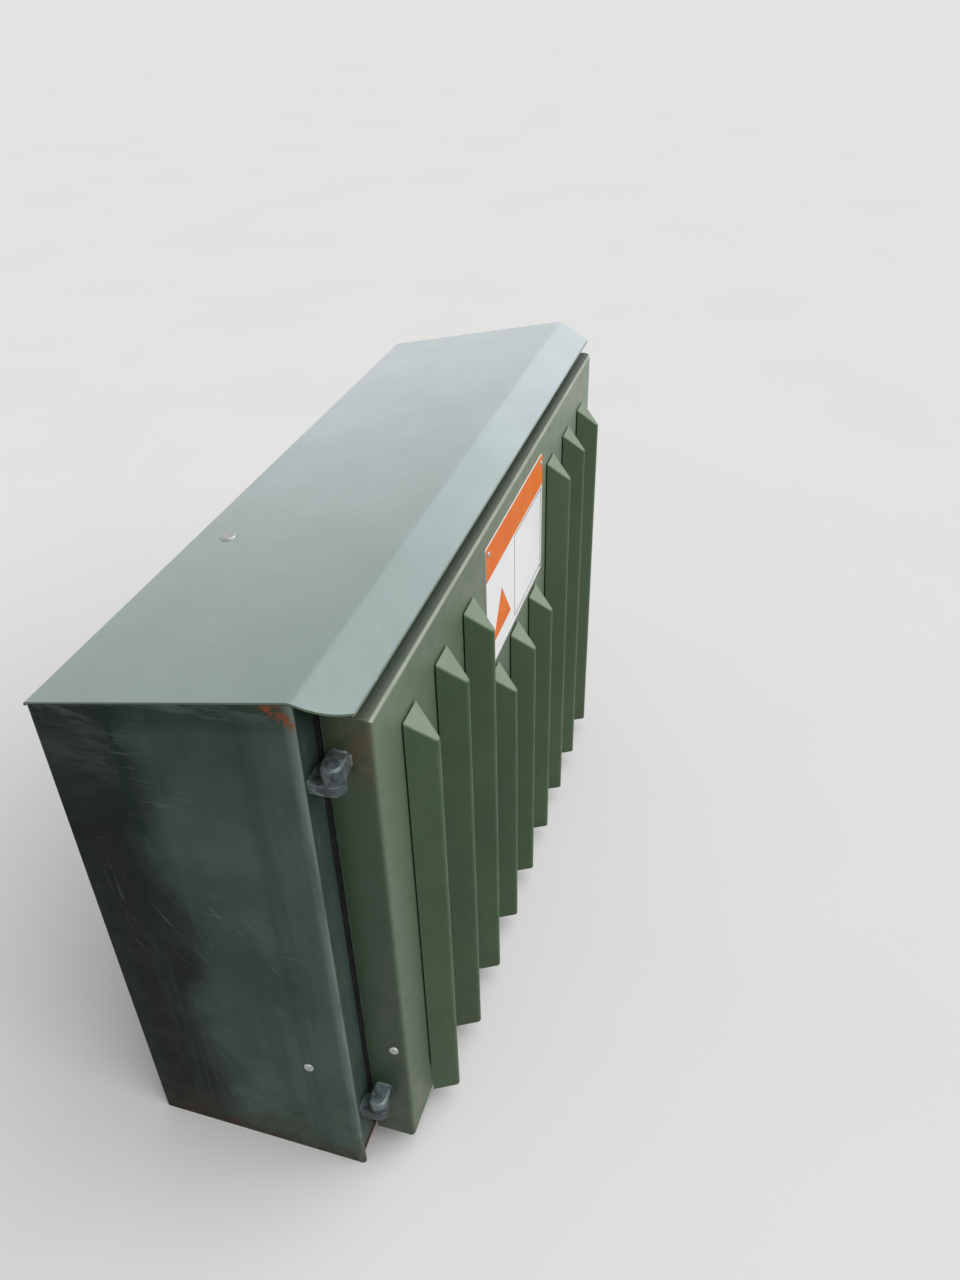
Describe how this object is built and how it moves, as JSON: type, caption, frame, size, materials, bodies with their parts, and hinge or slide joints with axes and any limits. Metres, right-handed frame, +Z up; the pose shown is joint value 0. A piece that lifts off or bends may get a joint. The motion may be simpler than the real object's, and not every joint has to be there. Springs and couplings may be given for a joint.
{
  "type": "roadside utility cabinet",
  "caption": "Ground-standing steel utility cabinet with a sloping roof, a side-hinged front door with tall folded vent hoods, and fused switchgear on an inner board.",
  "frame": {"origin": "ground level, in the middle of the footprint", "axes": "+Z up, -Y out through the door, +X from the hinged end to the lock end"},
  "size_m": [1.122, 0.415, 0.8273],
  "materials": {
    "green_paint": "weathered semi-gloss dark green paint",
    "rusted_steel": "rusted",
    "hinge_casting": "dull dark grey",
    "bright_steel": "dulled",
    "zinc_steel": "zinc plated",
    "copper": "tinned edges, dull",
    "bar_brass": "dull",
    "insulator": "matt",
    "seal_rubber": "matt",
    "placard_white": "satin",
    "placard_orange": "satin",
    "dark_plastic": "moulded",
    "grey_plastic": "moulded",
    "red_plastic": "moulded",
    "fuse_ceramic": "glazed"
  },
  "bodies": {
    "cabinet": {"base_rail_front": "rusted_steel", "base_rail_back": "rusted_steel", "base_rail_left": "rusted_steel", "base_rail_right": "rusted_steel", "back_panel": "green_paint", "end_panel_left": "green_paint", "end_panel_right": "green_paint", "roof_panel": "green_paint", "roof_plug": "bright_steel", "door_header": "green_paint", "door_sill": "green_paint", "door_seal": "seal_rubber", "hinge_lug_lower": "hinge_casting", "hinge_lug_upper": "hinge_casting", "hinge_pin_lower": "bright_steel", "hinge_pin_upper": "bright_steel", "end_wall_screws": "bright_steel", "gear_board": "zinc_steel", "board_standoffs": "zinc_steel", "busbar_lower": "copper", "busbar_middle": "copper", "busbar_upper": "copper", "neutral_bar": "bar_brass", "earth_bar": "bar_brass", "bar_supports": "insulator", "main_switch": "dark_plastic", "cable_rail": "zinc_steel", "fuse_base_1": "dark_plastic", "fuse_base_2": "dark_plastic", "fuse_base_3": "dark_plastic"},
    "door": {"door_skin": "green_paint", "vent_hood_1": "green_paint", "vent_hood_2": "green_paint", "vent_hood_3": "green_paint", "vent_hood_4": "green_paint", "vent_hood_5": "green_paint", "vent_hood_6": "green_paint", "vent_hood_7": "green_paint", "vent_hood_8": "green_paint", "vent_hood_9": "green_paint", "door_stiffeners": "green_paint", "vent_screen": "zinc_steel", "hinge_knuckle_lower": "hinge_casting", "hinge_knuckle_upper": "hinge_casting", "placard": "placard_white", "placard_print": "placard_orange", "placard_rivets": "bright_steel", "door_screw": "bright_steel", "lock_housing": "bright_steel"},
    "lock": {"lock_barrel": "bright_steel", "lock_cam": "zinc_steel", "cam_screw": "bright_steel"},
    "switch": {"switch_handle": "red_plastic"},
    "lid_1": {"fuse_lid_1": "grey_plastic", "fuse_links_1": "fuse_ceramic"},
    "lid_2": {"fuse_lid_2": "grey_plastic", "fuse_links_2": "fuse_ceramic"},
    "lid_3": {"fuse_lid_3": "grey_plastic", "fuse_links_3": "fuse_ceramic"}
  },
  "joints": [
    {"name": "door_hinge", "type": "hinge", "parent": "cabinet", "child": "door", "pos_m": [-0.54, -0.1345, 0.413], "axis": [0, 0, -1], "range_deg": [0, 120]},
    {"name": "lock_turn", "type": "hinge", "parent": "door", "child": "lock", "pos_m": [0.485, -0.1325, 0.413], "axis": [0, -1, 0], "range_deg": [0, 90]},
    {"name": "switch_turn", "type": "hinge", "parent": "cabinet", "child": "switch", "pos_m": [0.132, 0.0665, 0.45], "axis": [0, -1, 0], "range_deg": [0, 90]},
    {"name": "lid_1_tilt", "type": "hinge", "parent": "cabinet", "child": "lid_1", "pos_m": [-0.368, 0.0715, 0.369], "axis": [1, 0, 0], "range_deg": [0, 75]},
    {"name": "lid_2_tilt", "type": "hinge", "parent": "cabinet", "child": "lid_2", "pos_m": [-0.218, 0.0715, 0.369], "axis": [1, 0, 0], "range_deg": [0, 75]},
    {"name": "lid_3_tilt", "type": "hinge", "parent": "cabinet", "child": "lid_3", "pos_m": [-0.068, 0.0715, 0.369], "axis": [1, 0, 0], "range_deg": [0, 75]}
  ]
}
